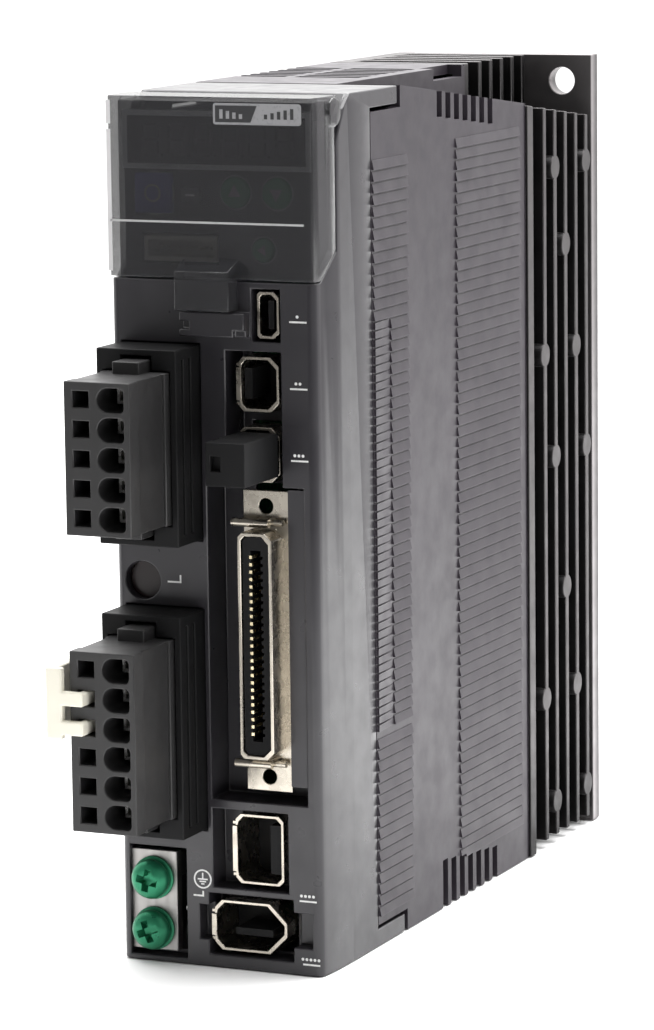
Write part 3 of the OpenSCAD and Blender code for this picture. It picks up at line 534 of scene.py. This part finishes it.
def softened(node, width, material=None):
    """Stands for a CAD node with its sharp edges rounded by width; its flats stay flat-shaded."""
    sharp, degenerate = math.radians(40), 0.002 * MM
    work = bmesh.new()
    work.from_mesh(frame["nodes"][node].data)
    bmesh.ops.remove_doubles(work, verts=work.verts, dist=WELD)
    work.normal_update()
    flats = {plane_key(face) for face in work.faces if not is_curved(face)}
    chosen = [e for e in work.edges if len(e.link_faces) == 2
              and (e.is_convex or node in ROUNDED_INSIDE) and e.calc_face_angle(0) > sharp]
    bmesh.ops.bevel(work, geom=chosen, offset=width, segments=2, profile=0.5, affect="EDGES",
                    clamp_overlap=False, loop_slide=False, offset_type="OFFSET", material=-1)
    work.normal_update()
    for face in work.faces:
        face.smooth = not any(plane_key(face, shift) in flats for shift in (-1, 0, 1))
    if node in EASED:
        moved = ease_sides(work)
        work.normal_update()
        for face in work.faces:
            faces_sideways = abs(face.normal.x) > 0.9
            if faces_sideways and not moved.isdisjoint(face.verts):
                face.smooth = True
    bmesh.ops.dissolve_degenerate(work, dist=degenerate, edges=work.edges[:])
    smooth = [face.smooth for face in work.faces]
    name = node + "_shape"
    mesh = bpy.data.meshes.new(name)
    work.to_mesh(mesh)
    work.free()
    add_piece(name, mesh, material or SLOT_OF[node], BODY_OF[node], (node,))
    # set_sharp_from_angle makes every face smooth, so the flats are set back
    mesh.set_sharp_from_angle(angle=sharp)
    mesh.polygons.foreach_set("use_smooth", smooth)


def dress(node):
    """Gives a CAD node that keeps its own shape the material of its slot."""
    mesh = frame["nodes"][node].data
    mesh.materials.clear()
    mesh.materials.append(MATERIALS[SLOT_OF[node]])


def flat_mesh(name, outline, y, thickness):
    """A closed plate from y forwards (towards -Y); outline is a list of (x, z) in metres."""
    work = bmesh.new()
    back = [work.verts.new((x, y, z)) for x, z in outline]
    face = work.faces.new(back)
    out = bmesh.ops.extrude_face_region(work, geom=[face])
    pushed = [v for v in out["geom"] if isinstance(v, bmesh.types.BMVert)]
    bmesh.ops.translate(work, vec=(0, -thickness, 0), verts=pushed)
    bmesh.ops.recalc_face_normals(work, faces=work.faces)
    mesh = bpy.data.meshes.new(name)
    work.to_mesh(mesh)
    work.free()
    return mesh


def plate(name, outline, y, material, body, thickness=PRINT_T):
    """A piece in the shape of the outline, from y forwards."""
    return add_piece(name, flat_mesh(name, outline, y, thickness), material, body)


def bar(x0, x1, z0, z1):
    """The outline of a rectangle."""
    return [(x0, z0), (x1, z0), (x1, z1), (x0, z1)]


def rounded_bar(x0, x1, z0, z1, radius):
    """The outline of a rectangle with round corners."""
    steps = 6
    corners = [(x1 - radius, z0 + radius, -90), (x1 - radius, z1 - radius, 0),
               (x0 + radius, z1 - radius, 90), (x0 + radius, z0 + radius, 180)]
    return [(cx + radius * math.cos(math.radians(start + 90 * i / steps)),
             cz + radius * math.sin(math.radians(start + 90 * i / steps)))
            for cx, cz, start in corners for i in range(steps + 1)]


def ring_mesh(name, x, z, y, inner, outer, thickness):
    """A flat ring round (x, z), from y forwards."""
    steps = 40
    work = bmesh.new()
    loops = []
    for radius, depth in ((inner, 0), (outer, 0), (outer, thickness), (inner, thickness)):
        loops.append([work.verts.new((x + radius * math.cos(2 * math.pi * i / steps), y - depth,
                                      z + radius * math.sin(2 * math.pi * i / steps)))
                      for i in range(steps)])
    for one, two in zip(loops, loops[1:] + loops[:1]):
        for i in range(steps):
            work.faces.new((one[i], one[(i + 1) % steps], two[(i + 1) % steps], two[i]))
    bmesh.ops.recalc_face_normals(work, faces=work.faces)
    mesh = bpy.data.meshes.new(name)
    work.to_mesh(mesh)
    work.free()
    return mesh


# ---------------------------------------------------------------- printing

def mm_points(points):
    """An outline given in millimetres, in metres."""
    return [(x * MM, z * MM) for x, z in points]


def cover_printing():
    """A thin white line and a blank two-tone rating badge printed on the cover's front, and a
    painted highlight on its left edge.
    """
    front = COVER_FRONT_Y
    plate("cover_line", mm_points(bar(-18.8, 17.2, 128.65, 129.0)), front, "grey_ink", "cover")
    # Two pale strips down the cover's left edge: a painted highlight of the flange edge, not a part
    for name, foot, head in (("low", 120.2, 144.3), ("high", 145.2, 149.2)):
        plate("cover_edge_highlight_" + name, mm_points(bar(-19.3, -18.5, foot, head)), front, "edge_highlight_grey",
              "cover")
    left, right, foot, head, split, rim = 0.8, 17.0, 145.4, 149.0, 8.6, 0.4
    plate("badge_border", mm_points(rounded_bar(left, right, foot, head, 0.5)), front, "badge_grey",
          "cover")
    dark_half = [(left + rim, foot + rim), (split - 0.9, foot + rim), (split + 0.3, head - rim),
                 (left + rim, head - rim)]
    plate("badge_dark_half", mm_points(dark_half), front - PRINT_T, "dark_ink", "cover")
    tick_width, tick_foot, tick_step = 0.6, 146.4, 0.25
    for i, x in enumerate((10.2, 11.4, 12.6, 13.8, 15.0)):
        outline = bar(x, x + tick_width, tick_foot, 147.2 + tick_step * i)
        plate(f"badge_tick_{i}", mm_points(outline), front - PRINT_T, "dark_ink", "cover")
    for i, x in enumerate((2.0, 3.2, 4.4, 5.6)):
        outline = bar(x, x + tick_width, tick_foot, 147.95 - tick_step * i)
        plate(f"badge_light_tick_{i}", mm_points(outline), front - 2 * PRINT_T, "badge_grey",
              "cover")


def port_mark(name, x, z, count):
    """A short bar under a row of dots, one dot for each port counted from the top."""
    pitch, dot = 0.75, 0.5
    for i in range(count):
        left = x + pitch * i - pitch * count / 2
        outline = rounded_bar(left, left + dot, z + 0.3, z + 0.8, 0.2)
        plate(f"{name}_dot_{i}", mm_points(outline), FRONT_Y, "white_ink", "drive")
    outline = bar(x - 1.6, x + 1.6, z - 0.5, z - 0.2)
    plate(f"{name}_bar", mm_points(outline), FRONT_Y, "white_ink", "drive")


def leader(name, x0, x1, z0, z1):
    """An L-shaped leader line from (x0, z0) to the right and then up to (x1, z1)."""
    width = 0.3
    for part, outline in (("flat", bar(x0, x1 + width, z0, z0 + width)),
                          ("rise", bar(x1, x1 + width, z0 + width, z1))):
        plate(f"{name}_{part}", mm_points(outline), FRONT_Y, "white_ink", "drive")


def front_printing():
    """Marks beside the ports, two leader lines and an earth sign in a ring."""
    ports = {"port_0": (15.9, 112.9), "port_1": (15.9, 101.6), "port_2": (15.9, 89.4),
             "port_4": (16.4, 13.4), "port_5": (16.9, 2.3)}
    for count, (name, (x, z)) in enumerate(ports.items(), 1):
        port_mark(name, x, z, count)
    leader("lamp_leader", -9.2, -6.9, 66.9, 68.3)
    leader("earth_leader", -5.3, -3.6, 12.2, 13.2)
    x, z = -3.5, 15.3
    earth = ring_mesh("earth_ring", x * MM, z * MM, FRONT_Y, 1.42 * MM, 1.7 * MM, PRINT_T)
    add_piece("earth_ring", earth, "white_ink", "drive")
    stem = bar(x - 0.13, x + 0.13, z + 0.1, z + 1.1)
    plate("earth_stem", mm_points(stem), FRONT_Y, "white_ink", "drive")
    for i, half in enumerate((0.95, 0.62, 0.3)):
        top = z + 0.1 - 0.42 * i
        outline = bar(x - half, x + half, top - 0.24, top)
        plate(f"earth_bar_{i}", mm_points(outline), FRONT_Y, "white_ink", "drive")


# ---------------------------------------------------------------- display and keys

def segment_outline(cx, cz, length, thick, upright):
    """A pointed bar, one segment of a digit."""
    half, point = length / 2, thick / 2
    outline = [(-half, 0), (-half + point, -point), (half - point, -point), (half, 0),
               (half - point, point), (-half + point, point)]
    return [(cx + (-b if upright else a), cz + (a if upright else b)) for a, b in outline]


def window_frame():
    """Pale moulded border round the display window and thin ones round the keys."""
    low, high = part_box("display_window")
    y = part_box("operation_panel")[0].y
    step = 0.9 * MM
    for name, outline in (("left", bar(low.x - step, low.x, low.z - step, high.z + step)),
                          ("right", bar(high.x, high.x + step, low.z - step, high.z + step)),
                          ("foot", bar(low.x, high.x, low.z - step, low.z)),
                          ("head", bar(low.x, high.x, high.z, high.z + step))):
        plate("window_frame_" + name, outline, y, "frame_grey", "drive", 0.3 * MM)
    for node in ("up_button", "down_button", "shift_button", "mode_button"):
        low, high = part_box(node)
        radius = (high.x - low.x) / 2
        collar = ring_mesh(node + "_collar", (low.x + high.x) / 2, (low.z + high.z) / 2, y,
                           radius + 0.15 * MM, radius + 0.4 * MM, 0.1 * MM)
        add_piece(node + "_collar", collar, "badge_grey", "drive")


def display_digits():
    """Six digits with all seven segments and the point, dark because the display is off."""
    low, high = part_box("display_window")
    y = low.y + 0.48 * MM
    middle = (low.z + high.z) / 2 / MM
    tall, wide, thick, shortened = 5.2, 2.7, 0.52, 0.94
    for digit in range(6):
        x = -12.5 + 5 * digit
        parts = [(x, middle + rise * tall / 2, wide, False) for rise in (1, 0, -1)]
        parts += [(x + side * wide / 2 * 1.08, middle + rise * tall / 4, tall / 2, True)
                  for side in (-1, 1) for rise in (-1, 1)]
        for i, (cx, cz, length, upright) in enumerate(parts):
            outline = segment_outline(cx, cz, length * shortened, thick, upright)
            plate(f"digit_{digit}_segment_{i}", mm_points(outline), y, "segment", "drive")
        point = rounded_bar(x + 1.95, x + 2.45, middle - 2.85, middle - 2.35, 0.22)
        plate(f"digit_{digit}_point", mm_points(point), y, "segment", "drive")


def key_marks():
    """Arrows on the round keys, a ring on the square one and a bar on the small one, all proud."""
    arrows = {"up_button": 90, "down_button": -90, "shift_button": 180}
    for node, turn in arrows.items():
        low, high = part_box(node)
        cx, cz = (low.x + high.x) / 2, (low.z + high.z) / 2
        reach = (high.x - low.x) * 0.27
        corners = [math.radians(turn + corner) for corner in (0, 120, 240)]
        outline = [(cx + reach * math.cos(a), cz + reach * math.sin(a)) for a in corners]
        plate(node + "_arrow", outline, low.y, "badge_grey", BODY_OF[node])
    low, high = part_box("mode_button")
    ring = ring_mesh("mode_ring", (low.x + high.x) / 2, (low.z + high.z) / 2, low.y, 1.2 * MM,
                     1.55 * MM, PRINT_T)
    add_piece("mode_ring", ring, "badge_grey", BODY_OF["mode_button"])
    low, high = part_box("set_button")
    cz, inset, half = (low.z + high.z) / 2, 0.8 * MM, 0.15 * MM
    plate("set_bar", bar(low.x + inset, high.x - inset, cz - half, cz + half), low.y, "white_ink",
          BODY_OF["set_button"])


# ---------------------------------------------------------------- tall connector

def signal_contacts():
    """Gold contacts of the tall connector, the right-hand row deeper in its grooves."""
    node, setback = "io_contacts", 2.6 * MM
    low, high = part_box("io_contacts")
    work = bmesh.new()
    work.from_mesh(frame["nodes"][node].data)
    bmesh.ops.remove_doubles(work, verts=work.verts, dist=WELD)
    for face in work.faces:
        face.smooth = False
    middle = (low.x + high.x) / 2
    for v in work.verts:
        if v.co.x > middle and v.co.y < low.y + 1 * MM:
            v.co.y += setback
    mesh = bpy.data.meshes.new(node + "_shape")
    work.to_mesh(mesh)
    work.free()
    add_piece(node + "_shape", mesh, "gold_plate", BODY_OF[node], (node,))


def pocket_filler():
    """Raised strip of the front beside the tall connector's flange."""
    low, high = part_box("io_flange")
    outline = rounded_bar(high.x + 0.15 * MM, 17.35 * MM, low.z + 1.2 * MM, high.z + 0.35 * MM,
                          0.2 * MM)
    plate("pocket_strip", outline, FRONT_Y + 2.4 * MM, "front_plastic", "drive", 2.1 * MM)


# ---------------------------------------------------------------- screws

def lathe(profile):
    """Turned solid about the Y axis; profile is a list of (radius, y), both ends on the axis."""
    steps = 56
    work = bmesh.new()
    rings = []
    for radius, y in profile:
        if radius == 0:
            rings.append([work.verts.new((0, y, 0))])
            continue
        rings.append([work.verts.new((radius * math.cos(2 * math.pi * i / steps), y,
                                      radius * math.sin(2 * math.pi * i / steps)))
                      for i in range(steps)])
    for one, two in zip(rings, rings[1:]):
        for i in range(steps):
            j = (i + 1) % steps
            if len(one) == 1:
                work.faces.new((one[0], two[i], two[j]))
            elif len(two) == 1:
                work.faces.new((one[i], two[0], one[j]))
            else:
                work.faces.new((one[i], two[i], two[j], one[j]))
    bmesh.ops.recalc_face_normals(work, faces=work.faces)
    return work


def cross_cutter(reach, width, depth):
    """Two crossed tapering blades that cut a cross recess into a head whose top is at y = 0."""
    above, flare, taper = -0.5 * MM, 1.08, 0.55
    work = bmesh.new()
    for turn in (0, math.pi / 2):
        corners = []
        for y, scale in ((above, flare), (depth, taper)):
            for sx, sz in ((-1, -1), (1, -1), (1, 1), (-1, 1)):
                x, z = sx * reach * scale, sz * width * (0.6 + 0.4 * scale)
                corners.append(work.verts.new((x * math.cos(turn) - z * math.sin(turn), y,
                                               x * math.sin(turn) + z * math.cos(turn))))
        work.faces.new(corners[:4])
        work.faces.new(corners[4:])
        for i in range(4):
            j = (i + 1) % 4
            work.faces.new((corners[i], corners[j], corners[4 + j], corners[4 + i]))
    bmesh.ops.recalc_face_normals(work, faces=work.faces)
    return work


def cut(target, cutter):
    """Takes the cutter's shape out of the target mesh object and applies the result."""
    modifier = target.modifiers.new("cut", "BOOLEAN")
    modifier.operation = "DIFFERENCE"
    modifier.solver = "EXACT"
    modifier.use_self = True
    modifier.object = cutter
    scene_state = bpy.context.evaluated_depsgraph_get()
    result = bpy.data.meshes.new_from_object(target.evaluated_get(scene_state))
    target.modifiers.clear()
    target.data = result
    bpy.data.objects.remove(cutter)


def loose_object(name, work):
    """An object of the worked mesh, with no material or body yet."""
    mesh = bpy.data.meshes.new(name)
    work.to_mesh(mesh)
    work.free()
    piece = bpy.data.objects.new(name, mesh)
    bpy.context.collection.objects.link(piece)
    return piece


def green_screw(node, turn):
    """Domed head with a cross recess, a spring washer, a flat washer and a threaded shank."""
    low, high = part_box(node)
    radius = (high.x - low.x) / 2
    head = radius / 1.08
    centre = Vector(((low.x + high.x) / 2, 0, (low.z + high.z) / 2))
    top = low.y
    plate_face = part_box("ground_plate")[0].y
    profile = [(0, 0), (0.35 * head, 0.05 * MM), (0.62 * head, 0.22 * MM), (0.82 * head, 0.6 * MM),
               (0.94 * head, 1.1 * MM), (head, 1.65 * MM), (0.985 * head, 2.2 * MM),
               (0.9 * head, 2.38 * MM), (0.86 * head, 2.42 * MM), (0.86 * head, 2.8 * MM),
               (0.95 * radius, 2.86 * MM), (radius, 2.92 * MM)]
    seat, bevel, crest, root = plate_face - top - 0.06 * MM, 0.05 * MM, 1.9 * MM, 1.62 * MM
    profile += [(radius, seat - bevel), (radius - bevel, seat), (crest, seat)]
    depth = high.y - top
    pitch = 0.7 * MM
    turns = int((depth - seat - 0.6 * MM) / pitch)
    for i in range(turns):
        start = seat + 0.2 * MM + i * pitch
        profile += [(root, start), (crest, start + pitch / 2)]
    profile += [(root, seat + 0.2 * MM + turns * pitch), (1.4 * MM, depth), (0, depth)]
    screw = loose_object(node + "_shape", lathe(profile))
    cut(screw, loose_object(node + "_cutter", cross_cutter(0.62 * head, 0.19 * head, 1.6 * MM)))
    screw.data.transform(Matrix.Rotation(math.radians(turn), 4, "Y"))
    screw.data.transform(Matrix.Translation(centre + Vector((0, top, 0))))
    for face in screw.data.polygons:
        face.use_smooth = True
    screw.data.set_sharp_from_angle(angle=math.radians(38))
    screw.data.materials.clear()
    screw.data.materials.append(MATERIALS["green_screw"])
    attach(screw, BODY_OF[node])
    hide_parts(node)


make_camera()
make_studio()
MATERIALS = make_materials()
for node_name in frame["nodes"]:
    if node_name in REPLACED:
        continue
    if node_name in SOFTENED:
        softened(node_name, SOFTENED[node_name] * MM, DARKER_FOR_SHADE.get(node_name))
    else:
        dress(node_name)

signal_contacts()
pocket_filler()
green_screw("upper_ground_screw", 12)
green_screw("lower_ground_screw", -20)
cover_printing()
front_printing()
display_digits()
window_frame()
key_marks()
